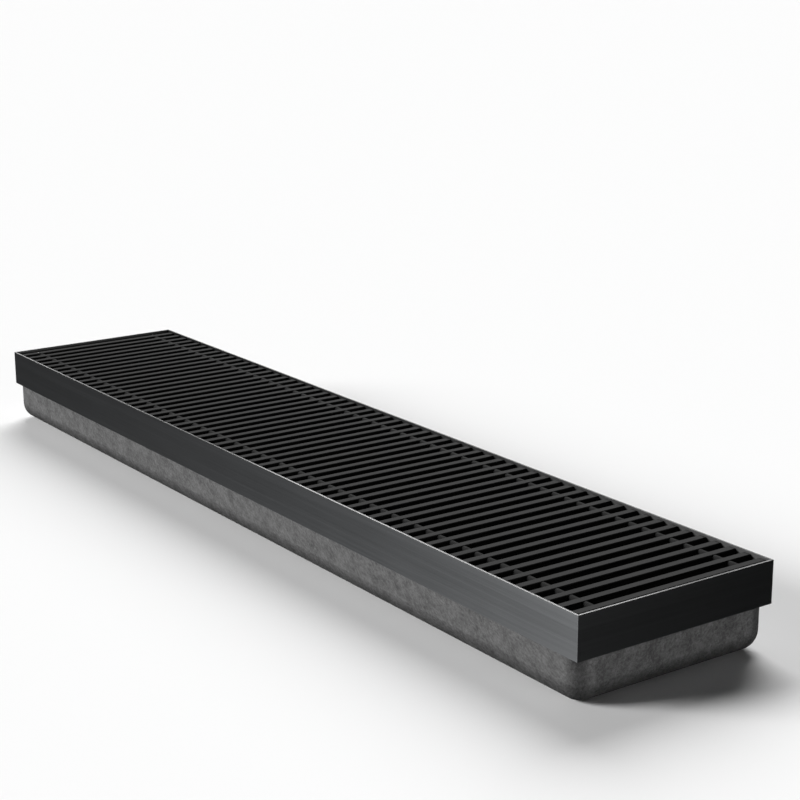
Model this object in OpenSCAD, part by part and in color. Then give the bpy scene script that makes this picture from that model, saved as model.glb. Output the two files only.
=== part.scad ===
// Trench convector heater: a shallow pan for a floor duct, an aluminium floor frame with
// a drop-in grille of cross bars, and a finned copper coil with its two valves inside.
// Millimetres. X runs along the trench, Y across it to the back, Z up.
// The origin is at the centre of the pan's underside.

/* [Overall] */
// Length over the floor frame
frame_l = 900; // [780:1:1600]
// Width over the floor frame
frame_w = 181; // [165:1:260]
// Height from the pan's underside to the frame's top edge
overall_h = 69; // [66:0.5:110]

/* [Floor frame] */
// Height of the frame's outer wall
frame_h = 33.2; // [27:0.1:42]
// Thickness of the frame's wall above the ledge
frame_wall = 1.8; // [1.2:0.1:2.6]
// Thickness of the frame's skirt below the ledge, round the pan
skirt_wall = 1.2; // [0.8:0.1:1.6]
// Width of the ledge inside the wall
ledge_w = 12; // [10:0.5:16]
// Thickness of the ledge
ledge_t = 2; // [1.6:0.1:3]
// Thickness of the rubber strip on the ledge
strip_t = 1.5; // [1:0.1:3]
// Width of the rubber strip
strip_w = 10; // [6:0.5:11]

/* [Grille] */
// Width of one bar
bar_w = 5.9; // [4:0.1:8]
// Height of one bar
bar_h = 16; // [12:0.5:20]
// Distance wanted between two bars' centres
bar_step = 14.92; // [12:0.01:20]
// Depth of the bars' tops below the frame's top edge
bar_recess = 1.4; // [0:0.1:3]
// Gap between a bar's end and the frame's wall
bar_end_gap = 0.4; // [0.3:0.1:1.5]
// Distance from the frame's end face to the middle of the last bar, with the grille centred
bar_margin = 10.4; // [10.2:0.1:14]
// How far the loose grille lies to the right of the frame's middle
grille_play = 1.9; // [0:0.1:2]
// Radius of the two tie rods
rod_r = 1.5; // [1:0.1:2]
// Radius of the spacer sleeves
sleeve_r = 3.1; // [2.6:0.1:3.8]
// Depth of the tie rods' middle below the bars' tops
rod_depth = 3.5; // [3.2:0.1:6]
// Distance from the frame's long face to a tie rod
rod_inset = 23.5; // [16:0.5:40]
// Height of the nut on a tie rod's end
rod_nut_h = 2.4; // [1.5:0.1:3]

/* [Pan] */
// Thickness of the pan's sheet
pan_t = 1.2; // [0.8:0.1:2]
// Outer radius of the pan's corners and bottom edges
pan_r = 16; // [14:0.5:20]
// Width of the flange under the ledge
flange_w = 10; // [8:0.5:12]
// Radius of a floor anchor hole
anchor_r = 3.5; // [2.5:0.1:5]
// Distance from the pan's end to the anchor holes
anchor_inset = 24; // [22:0.5:34]
// Distance from the front wall to the front row of anchor holes
anchor_front_inset = 27; // [22:0.5:40]
// Distance between the two rows of anchor holes
anchor_rows = 100; // [80:1:120]
// Gap between a pipe entry's lip and the pan's rounded bottom edge
entry_edge_gap = 0.1; // [0:0.1:2]

/* [Coil] */
// Width of a fin
fin_w = 70; // [60:1:84]
// Thickness of a fin
fin_t = 0.5; // [0.2:0.05:1]
// Distance wanted between two fins
fin_step = 6; // [4:0.5:12]
// Height of the fins' lower edge above the pan's floor
fin_floor_gap = 10.8; // [6:0.1:14]
// Gap between the fins and the grille
fin_grille_gap = 5.6; // [3:0.1:8]
// Gap between the fins and the back wall
fin_back_gap = 15; // [12:0.5:20]
// Outer radius of the copper tubes
tube_r = 7.5; // [6:0.1:8]
// Wall of the copper tubes
tube_t = 1; // [0.6:0.1:1.5]
// Distance between the two tubes
tube_gap = 35; // [33.5:0.5:40]
// Room between the left end wall and the fins
valve_bay = 187; // [175:1:260]
// Room between the fins and the right end wall
bend_bay = 97; // [90:1:160]

/* [Coil supports] */
// Thickness of a bracket's sheet
bracket_t = 1.5; // [1:0.1:2.5]
// Length of a bracket's foot
foot_l = 18; // [14:0.5:24]
// Gap between a bracket and the nearest fin
bracket_gap = 2.5; // [2:0.1:5]
// Thickness of the air guide's sheet
guide_t = 1; // [0.8:0.1:2]
// Height of the air guide's lower edge above the pan's floor
guide_floor_gap = 14; // [8:0.5:18]

/* [Valves] */
// Length of a valve body
valve_l = 70; // [62:1:80]
// Distance from the left end wall to a valve's mouth
valve_wall_gap = 30; // [20:1:40]
// Radius of the thread in a valve's mouth
inlet_r = 9.3; // [8:0.1:9.6]
// Depth of the thread in a valve's mouth
inlet_depth = 14; // [10:0.5:16]
// Radius of the hand cap
cap_r = 17; // [16.6:0.1:18]
// Length of the hand cap
cap_l = 28; // [24:0.5:36]
// Travel of the flow valve's pin
pin_travel = 1.5; // [0.5:0.1:2]
// Travel of the return valve's plug
plug_travel = 2.5; // [1:0.1:3]

/* [Hidden] */

round_fn = 64;
hex_fn = 6;
// How far a cut runs past the face it cuts
overrun = 1;
// Radial room of a piece that turns or slides in its bore
run_gap = 0.05;
// Radial room of a fixed piece in its hole
hole_gap = 0.1;
// Room between two pieces that must not touch
free_gap = 0.3;

// Heights of the stack from the frame's top edge down to the pan's rim
bar_top_z = overall_h - bar_recess;
bar_z = bar_top_z - bar_h;
ledge_top_z = bar_z - strip_t;
ledge_z = ledge_top_z - ledge_t;
pan_h = ledge_z;
flange_z = pan_h - pan_t;
frame_z = overall_h - frame_h;

// The pan fills the frame's skirt
pan_l = frame_l - 2 * skirt_wall;
pan_w = frame_w - 2 * skirt_wall;
inner_l = pan_l - 2 * pan_t;
inner_w = pan_w - 2 * pan_t;

// Frame screws: flat heads, flush with the ledge
screw_r = 2;
screw_head_r = 4;
screw_l = 10;
nut_r = 4;
nut_h = 3;
cleat_t = 2;
cleat_w = 9;
cleat_leg = 42;
corner_screw_inset = 30;
side_screw_count = 3;
screw_inset = frame_wall + ledge_w / 2;
long_screw_y = frame_w / 2 - screw_inset;
short_screw_x = frame_l / 2 - screw_inset;
corner_screw_x = frame_l / 2 - corner_screw_inset;
corner_screw_y = frame_w / 2 - corner_screw_inset;
side_screw_step = 2 * corner_screw_x / (side_screw_count + 1);
corner_screws = [for (x = [-1, 1], y = [-1, 1]) each
    [[x * corner_screw_x, y * long_screw_y], [x * short_screw_x, y * corner_screw_y]]];
side_screws = [for (i = [1 : side_screw_count], y = [-1, 1])
    [-corner_screw_x + i * side_screw_step, y * long_screw_y]];

// Grille bars, tie rods and sleeves
bar_span = frame_l - 2 * bar_margin;
bar_count = round(bar_span / bar_step) + 1;
bar_pitch = bar_span / (bar_count - 1);
bar_l = frame_w - 2 * (frame_wall + bar_end_gap);
rod_y = frame_w / 2 - rod_inset;
rod_z = bar_top_z - rod_depth;
sleeve_l = bar_pitch - bar_w - 2 * run_gap;
rod_nut_r = 3;
rod_l = bar_span + bar_w + 2 * (rod_nut_h + run_gap);

// Coil: its middle height, its place across the pan and its ends
fin_z = pan_t + fin_floor_gap;
fin_h = bar_z - fin_grille_gap - fin_z;
coil_z = fin_z + fin_h / 2;
coil_y = inner_w / 2 - fin_back_gap - fin_w / 2;
flow_y = coil_y - tube_gap / 2;
return_y = coil_y + tube_gap / 2;
fin_x = -inner_l / 2 + valve_bay;
fin_run = inner_l - valve_bay - bend_bay;
fin_count = floor(fin_run / fin_step) + 1;
fin_pitch = fin_run / (fin_count - 1);
tube_bore_r = tube_r - tube_t;

// Return bend: a socket on each tube, then half a turn
socket_l = 12;
socket_t = 1;
bend_r = tube_r + run_gap + socket_t;
bend_x = fin_x + fin_run + bracket_gap + bracket_t + foot_l + socket_l + socket_t;

// Brackets and their rubber bushes
bush_t = 2;
bush_flange_t = 1;
bush_flange_w = 2;
bush_hole_r = tube_r + run_gap + bush_t;
bracket_top = fin_z + fin_h - bush_flange_w;
bracket_front = coil_y - fin_w / 2 - bracket_t - bush_flange_w;
bracket_w = fin_w;
left_bracket_x = fin_x - bracket_gap;
right_bracket_x = fin_x + fin_run + bracket_gap;
tab_l = 14;
foot_screw_r = 2.4;
foot_screw_head_r = 4.5;
foot_screw_head_h = 2.5;
foot_screw_edge = 9;
tip_gap = 0.3;
tab_screw_r = 1.5;
tab_screw_head_r = 3;
tab_screw_head_h = 1.8;
tab_screw_l = 5;
foot_screw_ys = [bracket_front + foot_screw_edge + bracket_t,
                 bracket_front + bracket_w - foot_screw_edge];
guide_z = pan_t + guide_floor_gap;
tab_h = bracket_top - guide_z;
tab_screw_zs = [guide_z + tab_h / 4, bracket_top - tab_h / 4];

// Valves
valve_x = -inner_l / 2 + valve_wall_gap + valve_l / 2;
valve_hex_r = 15.6;
valve_hex_l = 16;
neck_r = 8.4;
waterway_r = 6;
outlet_r = 10.4;
outlet_l = 15;
socket_depth = 8;
flow_globe_r = 14;
flow_port_r = 11.5;
flow_port_l = 20;
flow_chamber_r = 8;
return_globe_r = 11.5;
return_port_r = 8;
return_port_l = 13;
return_chamber_r = 5.5;
tube_start_x = valve_x + valve_l / 2 - socket_depth;
bonnet_hex_r = 13;
bonnet_hex_l = 4;
bonnet_plug_l = 6;
bonnet_ring_r = 14.9;
bonnet_ring_l = 9;
pin_r = 1.5;
disc_r = 5.5;
disc_t = 2;
disc_gap = 1;
disc_z = flow_port_l - bonnet_plug_l - disc_gap - disc_t;
pin_proud = 3;
cap_overlap = 7.5;
cap_grooves = 18;
groove_r = 1.4;
spindle_r = 4;
spindle_l = 5.5;
spindle_key_r = 2.6;
spindle_key_depth = 3;
spindle_rim_gap = 0.5;
plug_r = 4.5;
plug_h = 2;
plug_z = return_port_l - spindle_rim_gap - spindle_l - free_gap - plug_h;
seat_bore_r = 4;
return_cap_t = 1.5;
return_cap_skirt = 4.2;
return_cap_room = 1.5;
union_l = 16;
union_overlap = 9;

// Air bleed
bleed_x = right_bracket_x + bracket_t + foot_l / 2 + socket_t;
bleed_r = 5;
bleed_h = 14;
bleed_screw_r = 3;
bleed_thread_l = 6.5;
bleed_proud = 2.5;
bleed_slot_w = 1;
bleed_slot_depth = 1.2;

// Pipe entries and earth stud
grommet_lip_w = 1.1;
entry_r = coil_z - pan_r - entry_edge_gap - grommet_lip_w;
grommet_r = entry_r - grommet_lip_w;
grommet_lip_r = entry_r + grommet_lip_w;
grommet_lip_t = 1.1;
earth_x = -inner_l / 2 + valve_wall_gap + bonnet_hex_r;
earth_y = -inner_w / 4;
stud_r = 3;
stud_l = 17;
stud_base_r = 6;
stud_base_t = 1.5;
earth_nut_r = 5.8;
earth_nut_h = 5;

// Rectangle with round corners
module rounded_rect(l, w, r) {
    square([l - 2 * r, w], center = true);
    square([l, w - 2 * r], center = true);
    for (x = [-1, 1], y = [-1, 1])
        translate([x * (l / 2 - r), y * (w / 2 - r)]) circle(r, $fn = round_fn);
}

// Section of the pan's wall: a round bottom edge, the wall and the flange at its top.
// X is counted outwards from the axis of the corner.
module pan_section() {
    difference() {
        union() {
            translate([0, pan_r]) square([pan_r, pan_h - pan_r]);
            intersection() {
                translate([0, pan_r]) circle(pan_r, $fn = round_fn);
                square([pan_r, pan_r]);
            }
        }
        translate([-overrun, pan_r]) square([pan_r - pan_t + overrun, pan_h - pan_r + overrun]);
        intersection() {
            translate([0, pan_r]) circle(pan_r - pan_t, $fn = round_fn);
            translate([-overrun, 0]) square([pan_r + overrun, pan_r + overrun]);
        }
    }
    translate([pan_r - flange_w, flange_z]) square([flange_w, pan_t]);
}

// One straight stretch of the pan's wall, facing +Y, with its corner axis on y = 0
module pan_run(l) {
    translate([-l / 2, 0, 0]) rotate([90, 0, 90]) linear_extrude(l) pan_section();
}

module pan() {
    straight_l = pan_l - 2 * pan_r;
    straight_w = pan_w - 2 * pan_r;
    color("gray") difference() {
        union() {
            translate([-straight_l / 2, -straight_w / 2, 0]) cube([straight_l, straight_w, pan_t]);
            for (side = [0, 180]) rotate([0, 0, side]) {
                translate([0, straight_w / 2, 0]) pan_run(straight_l);
                rotate([0, 0, 90]) translate([0, straight_l / 2, 0]) pan_run(straight_w);
                translate([straight_l / 2, straight_w / 2, 0])
                    rotate_extrude(angle = 90, $fn = round_fn) pan_section();
                translate([-straight_l / 2, straight_w / 2, 0]) rotate([0, 0, 90])
                    rotate_extrude(angle = 90, $fn = round_fn) pan_section();
            }
        }
        for (p = concat(corner_screws, side_screws)) translate([p[0], p[1], flange_z - overrun])
            cylinder(r = screw_r + hole_gap, h = pan_t + 2 * overrun, $fn = round_fn);
        for (y = [flow_y, return_y]) translate([-inner_l / 2, y, coil_z]) rotate([0, -90, 0])
            translate([0, 0, -overrun])
                cylinder(r = entry_r, h = pan_t + 2 * overrun, $fn = round_fn);
        anchor_holes();
        for (x = foot_screw_xs()) for (y = foot_screw_ys) translate([x, y, -overrun])
            cylinder(r = foot_screw_r + run_gap, h = pan_t + 2 * overrun, $fn = round_fn);
    }
}

// Four holes in the floor, clear of the coil and the pipes, for the anchors of the pan
module anchor_holes() {
    for (x = [-1, 1], row = [0, 1])
        translate([x * (pan_l / 2 - anchor_inset),
                   -pan_w / 2 + anchor_front_inset + row * anchor_rows, -overrun])
            cylinder(r = anchor_r, h = pan_t + 2 * overrun, $fn = round_fn);
}

// Section of the frame, X counted inwards from its outer face
module frame_section() {
    translate([0, frame_z]) square([skirt_wall, frame_h]);
    translate([0, ledge_z]) square([frame_wall, overall_h - ledge_z]);
    translate([0, ledge_z]) square([frame_wall + ledge_w, ledge_t]);
}

// One mitred side of the frame, facing -Y, with its outer face on y = 0
module frame_run(l) {
    depth = frame_wall + ledge_w;
    intersection() {
        translate([-l / 2, 0, 0]) rotate([90, 0, 90]) linear_extrude(l) frame_section();
        linear_extrude(overall_h)
            polygon([[-l / 2, 0], [l / 2, 0], [l / 2 - depth, depth], [-l / 2 + depth, depth]]);
    }
}

// Holes with a countersink for the frame screws
module frame_screw_holes() {
    for (p = concat(corner_screws, side_screws)) translate([p[0], p[1], ledge_z]) {
        translate([0, 0, -overrun])
            cylinder(r = screw_r + hole_gap, h = ledge_t + 2 * overrun, $fn = round_fn);
        cylinder(r1 = screw_r + hole_gap, r2 = screw_head_r + hole_gap, h = ledge_t,
                 $fn = round_fn);
    }
}

module frame_side(turn, l, reach) {
    color("dimgray") difference() {
        rotate([0, 0, turn]) translate([0, -reach / 2, 0]) frame_run(l);
        frame_screw_holes();
    }
}

module frame_front() {
    frame_side(0, frame_l, frame_w);
}

module frame_back() {
    frame_side(180, frame_l, frame_w);
}

// The left side's skirt is notched from below where the pipes enter the pan
module frame_left() {
    notch_r = grommet_lip_r + free_gap;
    difference() {
        frame_side(270, frame_w, frame_l);
        for (y = [flow_y, return_y]) translate([-frame_l / 2 - overrun, y, coil_z]) {
            rotate([0, 90, 0])
                cylinder(r = notch_r, h = skirt_wall + 2 * overrun, $fn = round_fn);
            translate([0, -notch_r, -frame_h])
                cube([skirt_wall + 2 * overrun, 2 * notch_r, frame_h]);
        }
    }
}

module frame_right() {
    frame_side(90, frame_w, frame_l);
}

// Angle plates that tie the frame's mitres together under the flange
module corner_cleats() {
    l = inner_l - 2 * free_gap;
    w = inner_w - 2 * free_gap;
    r = pan_r - pan_t - free_gap;
    color("silver") difference() {
        translate([0, 0, flange_z - cleat_t]) linear_extrude(cleat_t) intersection() {
            difference() {
                rounded_rect(l, w, r);
                rounded_rect(l - 2 * cleat_w, w - 2 * cleat_w, r - cleat_w);
            }
            for (x = [-1, 1], y = [-1, 1]) translate([x * l / 2, y * w / 2])
                square(2 * cleat_leg, center = true);
        }
        for (p = corner_screws) translate([p[0], p[1], flange_z - cleat_t - overrun])
            cylinder(r = screw_r + hole_gap, h = cleat_t + 2 * overrun, $fn = round_fn);
    }
}

module frame_screws() {
    color("silver") for (p = concat(corner_screws, side_screws))
        translate([p[0], p[1], ledge_top_z]) {
            translate([0, 0, -screw_l]) cylinder(r = screw_r, h = screw_l, $fn = round_fn);
            translate([0, 0, -ledge_t])
                cylinder(r1 = screw_r, r2 = screw_head_r, h = ledge_t, $fn = round_fn);
        }
}

module frame_nut(top_z) {
    translate([0, 0, top_z - nut_h]) difference() {
        cylinder(r = nut_r, h = nut_h, $fn = hex_fn);
        translate([0, 0, -overrun])
            cylinder(r = screw_r + run_gap, h = nut_h + 2 * overrun, $fn = round_fn);
    }
}

module frame_nuts() {
    color("silver") {
        for (p = corner_screws) translate([p[0], p[1], 0]) frame_nut(flange_z - cleat_t);
        for (p = side_screws) translate([p[0], p[1], 0]) frame_nut(flange_z);
    }
}

// Rubber strip under the bars' ends, on the long ledges
module rest_strip(side) {
    color("black") translate([0, side * (frame_w / 2 - frame_wall - strip_w / 2), ledge_top_z])
        translate([-inner_l / 2, -strip_w / 2, 0]) cube([inner_l, strip_w, strip_t]);
}

module rest_strip_front() {
    rest_strip(-1);
}

module rest_strip_back() {
    rest_strip(1);
}

// Rubber rings in the two pipe entries, with a lip on each face of the wall
module entry_grommets() {
    color("black") for (y = [flow_y, return_y])
        translate([-pan_l / 2 + pan_t / 2, y, coil_z]) rotate([0, 90, 0]) difference() {
            for (lip = [-1, 0, 1]) translate([0, 0, lip * (pan_t + grommet_lip_t) / 2])
                cylinder(r = lip == 0 ? entry_r : grommet_lip_r, h = lip == 0 ? pan_t : grommet_lip_t,
                         center = true, $fn = round_fn);
            cylinder(r = grommet_r, h = pan_t + 2 * (grommet_lip_t + overrun), center = true,
                     $fn = round_fn);
        }
}

module earth_stud() {
    color("gold") translate([earth_x, earth_y, pan_t]) {
        cylinder(r = stud_base_r, h = stud_base_t, $fn = round_fn);
        cylinder(r = stud_r, h = stud_l, $fn = round_fn);
    }
}

module earth_nut() {
    color("gold") translate([earth_x, earth_y, pan_t + stud_base_t]) difference() {
        cylinder(r = earth_nut_r, h = earth_nut_h, $fn = hex_fn);
        translate([0, 0, -overrun])
            cylinder(r = stud_r + run_gap, h = earth_nut_h + 2 * overrun, $fn = round_fn);
    }
}

// Cross bars, drilled for the two tie rods
module grille_bars() {
    color([0.2, 0.2, 0.21]) for (i = [0 : bar_count - 1])
        translate([grille_play + i * bar_pitch - bar_span / 2, 0, bar_z]) difference() {
            translate([-bar_w / 2, -bar_l / 2, 0]) cube([bar_w, bar_l, bar_h]);
            for (y = [-rod_y, rod_y]) translate([0, y, rod_z - bar_z]) rotate([0, 90, 0])
                cylinder(r = rod_r + run_gap, h = bar_w + 2 * overrun, center = true,
                         $fn = round_fn);
        }
}

module tie_rod(side) {
    color("silver") translate([grille_play, side * rod_y, rod_z]) rotate([0, 90, 0])
        cylinder(r = rod_r, h = rod_l, center = true, $fn = round_fn);
}

module tie_rod_front() {
    tie_rod(-1);
}

module tie_rod_back() {
    tie_rod(1);
}

// Round sleeves on a tie rod that keep the bars apart
module sleeves(side) {
    color([0.2, 0.2, 0.21]) for (i = [1 : bar_count - 1])
        translate([grille_play + (i - 1 / 2) * bar_pitch - bar_span / 2, side * rod_y, rod_z])
            rotate([0, 90, 0]) difference() {
                cylinder(r = sleeve_r, h = sleeve_l, center = true, $fn = round_fn);
                cylinder(r = rod_r + run_gap, h = sleeve_l + 2 * overrun, center = true,
                         $fn = round_fn);
            }
}

module sleeves_front() {
    sleeves(-1);
}

module sleeves_back() {
    sleeves(1);
}

module rod_nuts() {
    color("silver") for (x = [-1, 1], y = [-1, 1])
        translate([grille_play + x * (bar_span + bar_w + rod_nut_h) / 2, y * rod_y, rod_z])
            rotate([0, 90, 0]) difference() {
                cylinder(r = rod_nut_r, h = rod_nut_h, center = true, $fn = round_fn);
                cylinder(r = rod_r + run_gap, h = rod_nut_h + 2 * overrun, center = true,
                         $fn = round_fn);
            }
}

// Thin plates on the two tubes
module fins() {
    color("lightgray") for (i = [0 : fin_count - 1])
        translate([fin_x + i * fin_pitch - fin_t / 2, 0, 0]) rotate([90, 0, 90])
            linear_extrude(fin_t) difference() {
                translate([coil_y - fin_w / 2, fin_z]) square([fin_w, fin_h]);
                for (y = [flow_y, return_y]) translate([y, coil_z])
                    circle(tube_r + run_gap, $fn = round_fn);
            }
}

module coil_tube(y) {
    l = bend_x - tube_start_x;
    color("peru") translate([tube_start_x, y, coil_z]) rotate([0, 90, 0]) difference() {
        cylinder(r = tube_r, h = l, $fn = round_fn);
        translate([0, 0, -overrun]) cylinder(r = tube_bore_r, h = l + 2 * overrun, $fn = round_fn);
    }
}

module flow_tube() {
    coil_tube(flow_y);
}

module return_tube() {
    coil_tube(return_y);
}

// Half a turn of pipe with the radius r and two straight ends of the length l
module bend_pipe(r, end_r, l) {
    rotate([0, 0, -90]) rotate_extrude(angle = 180, $fn = round_fn)
        translate([tube_gap / 2, 0]) circle(r, $fn = round_fn);
    for (y = [-1, 1]) translate([-l, y * tube_gap / 2, 0]) rotate([0, 90, 0])
        cylinder(r = end_r, h = l, $fn = round_fn);
}

module return_bend() {
    color("peru") translate([bend_x, coil_y, coil_z]) difference() {
        bend_pipe(bend_r, bend_r, socket_l);
        bend_pipe(tube_bore_r, tube_r + run_gap, socket_l + overrun);
    }
}

// Rubber bushes that carry the tubes in the brackets
module tube_bushes() {
    bore = tube_r + run_gap;
    waist = bracket_t / 2;
    rim = waist + bush_flange_t;
    color("black") for (x = [left_bracket_x - waist, right_bracket_x + waist])
        for (y = [flow_y, return_y]) translate([x, y, coil_z]) rotate([0, 90, 0])
            rotate_extrude($fn = round_fn)
                polygon([[bore, -rim], [bush_hole_r + bush_flange_w, -rim],
                         [bush_hole_r + bush_flange_w, -waist], [bush_hole_r, -waist],
                         [bush_hole_r, waist], [bush_hole_r + bush_flange_w, waist],
                         [bush_hole_r + bush_flange_w, rim], [bore, rim]]);
}

// Centre lines of the foot screws along X
function foot_screw_xs() = [left_bracket_x - bracket_t - foot_l / 2,
                            right_bracket_x + bracket_t + foot_l / 2];

// Folded sheet that stands on the floor; way is the side its foot points to
module bracket(x, way) {
    color("silver") difference() {
        translate([x, bracket_front, pan_t]) scale([way, 1, 1]) {
            cube([bracket_t, bracket_w, bracket_top - pan_t]);
            cube([bracket_t + foot_l, bracket_w, bracket_t]);
            translate([0, 0, guide_z - pan_t])
                cube([bracket_t + tab_l, bracket_t, tab_h]);
        }
        for (y = [flow_y, return_y]) translate([x, y, coil_z]) rotate([0, 90, 0])
            cylinder(r = bush_hole_r, h = 2 * (bracket_t + overrun), center = true,
                     $fn = round_fn);
        for (y = foot_screw_ys) translate([x + way * (bracket_t + foot_l / 2), y, 0])
            cylinder(r = foot_screw_r + hole_gap, h = pan_t + bracket_t + overrun,
                     $fn = round_fn);
        for (z = tab_screw_zs)
            translate([x + way * (bracket_t + tab_l / 2), bracket_front - overrun, z])
                rotate([-90, 0, 0])
                    cylinder(r = tab_screw_r + hole_gap, h = bracket_t + 2 * overrun,
                             $fn = round_fn);
    }
}

module bracket_left() {
    bracket(left_bracket_x, -1);
}

module bracket_right() {
    bracket(right_bracket_x, 1);
}

module bracket_screws() {
    top = pan_t + bracket_t;
    color("silver") for (x = foot_screw_xs()) for (y = foot_screw_ys) translate([x, y, 0]) {
        translate([0, 0, tip_gap])
            cylinder(r = foot_screw_r, h = top - tip_gap, $fn = round_fn);
        translate([0, 0, top])
            cylinder(r = foot_screw_head_r, h = foot_screw_head_h, $fn = hex_fn);
    }
}

// Upright sheet between the cool air at the front and the coil, on the brackets' tabs
module air_guide() {
    x0 = left_bracket_x - bracket_t - tab_l;
    x1 = right_bracket_x + bracket_t + tab_l;
    color("dimgray") difference() {
        translate([x0, bracket_front - guide_t, guide_z])
            cube([x1 - x0, guide_t, tab_h]);
        tab_screws(tab_screw_r + hole_gap, overrun, overrun);
    }
}

// Shanks through the guide and the tabs, and the heads on the guide's front
module tab_screws(r, lead, head_room) {
    for (x = [left_bracket_x - bracket_t - tab_l / 2, right_bracket_x + bracket_t + tab_l / 2])
        for (z = tab_screw_zs) translate([x, bracket_front - guide_t - lead, z])
            rotate([-90, 0, 0]) cylinder(r = r, h = tab_screw_l + head_room, $fn = round_fn);
}

module guide_screws() {
    color("silver") {
        tab_screws(tab_screw_r, 0, 0);
        for (x = [left_bracket_x - bracket_t - tab_l / 2,
                  right_bracket_x + bracket_t + tab_l / 2])
            for (z = tab_screw_zs)
                translate([x, bracket_front - guide_t - tab_screw_head_h, z])
                    rotate([-90, 0, 0])
                        cylinder(r = tab_screw_head_r, h = tab_screw_head_h, $fn = round_fn);
    }
}

// Cylinder along X from x0 to x1
module x_round(r, x0, x1, sides = round_fn) {
    translate([x0, 0, 0]) rotate([0, 90, 0]) cylinder(r = r, h = x1 - x0, $fn = sides);
}

// Valve body on its own axis X: a hexagon with the inlet thread, a globe with the port
// along Z, and the male outlet that takes the tube. The port's chamber ends at seat_z.
module valve_body(globe_r, port_r, port_l, chamber_r, bore_r, seat_z) {
    half = valve_l / 2;
    difference() {
        union() {
            x_round(valve_hex_r, -half, valve_hex_l - half, hex_fn);
            x_round(neck_r, valve_hex_l - half, half - outlet_l);
            x_round(outlet_r, half - outlet_l, half);
            sphere(globe_r, $fn = round_fn);
            cylinder(r = port_r, h = port_l, $fn = round_fn);
        }
        x_round(inlet_r, -half - overrun, inlet_depth - half);
        x_round(waterway_r, -half, half);
        x_round(tube_r + run_gap, half - socket_depth, half + overrun);
        cylinder(r = seat_bore_r, h = port_l, $fn = round_fn);
        translate([0, 0, seat_z])
            cylinder(r = chamber_r, h = port_l - spindle_l - spindle_rim_gap - seat_z,
                     $fn = round_fn);
        translate([0, 0, seat_z])
            cylinder(r = bore_r, h = port_l + overrun - seat_z, $fn = round_fn);
    }
}

module flow_place() {
    translate([valve_x, flow_y, coil_z]) rotate([90, 0, 0]) children();
}

module return_place() {
    translate([valve_x, return_y, coil_z]) children();
}

module flow_valve_body() {
    color("goldenrod") flow_place()
        valve_body(flow_globe_r, flow_port_r, flow_port_l, flow_chamber_r, flow_chamber_r,
                   disc_z - pin_travel - free_gap);
}

// Insert that closes the flow valve's port and carries the pin and the cap
module flow_bonnet() {
    top = flow_port_l + bonnet_hex_l + bonnet_ring_l;
    color("goldenrod") flow_place() difference() {
        union() {
            translate([0, 0, flow_port_l - bonnet_plug_l])
                cylinder(r = flow_chamber_r - run_gap, h = bonnet_plug_l, $fn = round_fn);
            translate([0, 0, flow_port_l])
                cylinder(r = bonnet_hex_r, h = bonnet_hex_l, $fn = hex_fn);
            translate([0, 0, flow_port_l + bonnet_hex_l])
                cylinder(r = bonnet_ring_r, h = bonnet_ring_l, $fn = round_fn);
        }
        cylinder(r = pin_r + run_gap, h = top + overrun, $fn = round_fn);
    }
}

// Pin with the valve's disc; it moves towards the seat when the cap is turned
module flow_pin() {
    top = flow_port_l + bonnet_hex_l + bonnet_ring_l + pin_proud;
    color("silver") flow_place() {
        translate([0, 0, disc_z]) cylinder(r = disc_r, h = disc_t, $fn = round_fn);
        translate([0, 0, disc_z]) cylinder(r = pin_r, h = top - disc_z, $fn = round_fn);
    }
}

// Grooved plastic cap over the bonnet's ring
module flow_hand_cap() {
    ring_top = flow_port_l + bonnet_hex_l + bonnet_ring_l;
    base = ring_top - cap_overlap;
    color("whitesmoke") flow_place() difference() {
        translate([0, 0, base]) cylinder(r = cap_r, h = cap_l, $fn = round_fn);
        translate([0, 0, base - overrun])
            cylinder(r = bonnet_ring_r + run_gap, h = cap_overlap + free_gap + overrun,
                     $fn = round_fn);
        translate([0, 0, ring_top])
            cylinder(r = pin_r + free_gap, h = pin_proud + free_gap, $fn = round_fn);
        for (i = [0 : cap_grooves - 1]) rotate([0, 0, i * 360 / cap_grooves])
            translate([cap_r + groove_r / 2, 0, base + cap_overlap])
                cylinder(r = groove_r, h = cap_l, $fn = round_fn);
    }
}

module return_valve_body() {
    color("goldenrod") return_place()
        valve_body(return_globe_r, return_port_r, return_port_l, return_chamber_r,
                   spindle_r + run_gap, plug_z - plug_travel - free_gap);
}

// Spindle of the lockshield valve, turned with a hexagon key
module return_spindle() {
    top = return_port_l - spindle_rim_gap;
    color("gold") return_place() difference() {
        translate([0, 0, top - spindle_l + run_gap])
            cylinder(r = spindle_r, h = spindle_l - run_gap, $fn = round_fn);
        translate([0, 0, top - spindle_key_depth])
            cylinder(r = spindle_key_r, h = spindle_key_depth + overrun, $fn = hex_fn);
    }
}

// Plug that the spindle drives down into the waterway
module return_plug() {
    color("gold") return_place()
        translate([0, 0, plug_z]) cylinder(r = plug_r, h = plug_h, $fn = round_fn);
}

// Cover cap on the lockshield valve's port
module return_cap() {
    base = return_port_l - return_cap_skirt;
    hollow = return_cap_skirt + return_cap_room;
    color("whitesmoke") return_place() translate([0, 0, base]) difference() {
        cylinder(r = return_port_r + hole_gap + return_cap_t, h = hollow + return_cap_t,
                 $fn = round_fn);
        translate([0, 0, -overrun])
            cylinder(r = return_port_r + hole_gap, h = hollow + overrun, $fn = round_fn);
    }
}

// Nut that clamps a tube to a valve's outlet
module union_nut(y) {
    x0 = valve_x + valve_l / 2 - union_overlap;
    color("silver") translate([0, y, coil_z]) difference() {
        x_round(valve_hex_r, x0, x0 + union_l, hex_fn);
        x_round(outlet_r + hole_gap, x0 - overrun, x0 + union_overlap);
        x_round(tube_r + hole_gap, x0, x0 + union_l + overrun);
    }
}

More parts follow.
